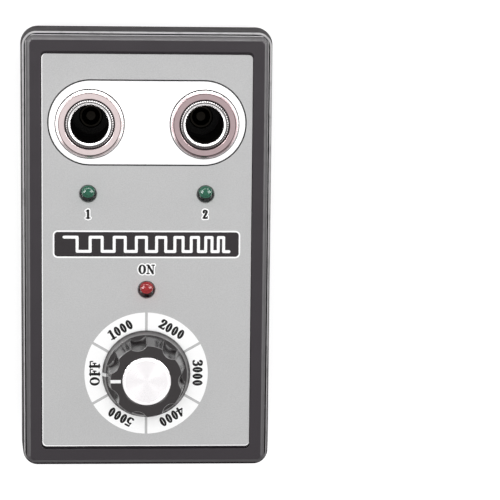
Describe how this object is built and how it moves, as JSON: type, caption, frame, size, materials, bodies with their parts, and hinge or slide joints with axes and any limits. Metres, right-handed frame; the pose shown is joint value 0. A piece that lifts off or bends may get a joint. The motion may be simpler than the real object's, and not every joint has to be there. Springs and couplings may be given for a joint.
{
  "type": "spark plug tester",
  "caption": "Bench tester in a flat plastic case, with round plug sockets, indicator lamps and a fluted speed knob on a printed front panel, and a low-voltage inlet.",
  "frame": {"origin": "centre of the case's back, on the surface that it lies on", "axes": "+Z rises out of the front panel, +Y runs along the case towards the plug sockets, +X is the panel's right"},
  "size_m": [0.0732, 0.128, 0.0536],
  "materials": {
    "case_plastic": "fine moulded texture, satin",
    "label_face": "silver grey print with a fine grain",
    "nickel": "turned and nickel plated",
    "insulator": "black moulded insulator",
    "brass": "bare turned brass",
    "contact_metal": "blackened, worn at the edges",
    "spring_steel": "drawn wire",
    "screw_steel": "zinc plated",
    "lens_red": "clear red resin",
    "lens_green": "clear green resin",
    "tinned": "tinned",
    "nylon": "natural nylon",
    "board": "green solder mask",
    "can_steel": "pressed and plated",
    "chip": "moulded black",
    "capacitor_sleeve": "shrunk sleeve",
    "sink": "extruded",
    "resistor": "lacquered",
    "core_iron": "stacked laminations",
    "coil_resin": "potted resin",
    "lead_red": "silicone",
    "lead_black": "silicone",
    "jack_plastic": "moulded black",
    "knob_plastic": "polished black",
    "cap_metal": "spun",
    "pointer_paint": "white filled line"
  },
  "bodies": {
    "case": {"base_shell": "case_plastic", "front_cover": "case_plastic", "cover_screws": "screw_steel", "front_label": "label_face", "earth_link": "brass", "led_power": "lens_red", "led_signal_left": "lens_green", "led_signal_right": "lens_green", "led_leads": "tinned", "led_spacers": "nylon", "control_board": "board", "board_screws": "screw_steel", "pot_can": "can_steel", "pot_bush": "brass", "pot_washer": "screw_steel", "pot_nut": "screw_steel", "pot_terminals": "tinned", "timer_chip": "chip", "capacitor": "capacitor_sleeve", "mosfet": "chip", "heat_sink": "sink", "resistors": "resistor", "coil_core": "core_iron", "coil_winding": "coil_resin", "coil_screws": "screw_steel", "dc_jack_body": "jack_plastic", "dc_jack_nut": "nickel", "dc_jack_pin": "nickel", "dc_jack_lugs": "tinned", "supply_leads": "lead_red", "earth_lead": "lead_black", "socket_tube_left": "nickel", "socket_nut_left": "nickel", "socket_back_nut_left": "nickel", "socket_sleeve_left": "insulator", "hv_terminal_left": "brass", "hv_spring_left": "spring_steel", "hv_lead_left": "lead_red", "socket_tube_right": "nickel", "socket_nut_right": "nickel", "socket_back_nut_right": "nickel", "socket_sleeve_right": "insulator", "hv_terminal_right": "brass", "hv_spring_right": "spring_steel", "hv_lead_right": "lead_red"},
    "knob": {"knob_body": "knob_plastic", "knob_cap": "cap_metal", "knob_insert": "brass", "knob_set_screw": "screw_steel", "knob_pointer": "pointer_paint", "pot_shaft": "can_steel"},
    "contact_left": {"hv_plunger_left": "contact_metal"},
    "contact_right": {"hv_plunger_right": "contact_metal"}
  },
  "joints": [
    {"name": "knob_turn", "type": "hinge", "parent": "case", "child": "knob", "pos_m": [0, -0.0353, 0.047], "axis": [0, 0, 1], "range_deg": [-300, 0]},
    {"name": "contact_left", "type": "slide", "parent": "case", "child": "contact_left", "axis": [0, 0, -1], "range_m": [0, 0.0035], "stiffness_N_per_m": 400, "springref_m": -0.002, "deforming": ["hv_spring_left"]},
    {"name": "contact_right", "type": "slide", "parent": "case", "child": "contact_right", "axis": [0, 0, -1], "range_m": [0, 0.0035], "stiffness_N_per_m": 400, "springref_m": -0.002, "deforming": ["hv_spring_right"]}
  ]
}
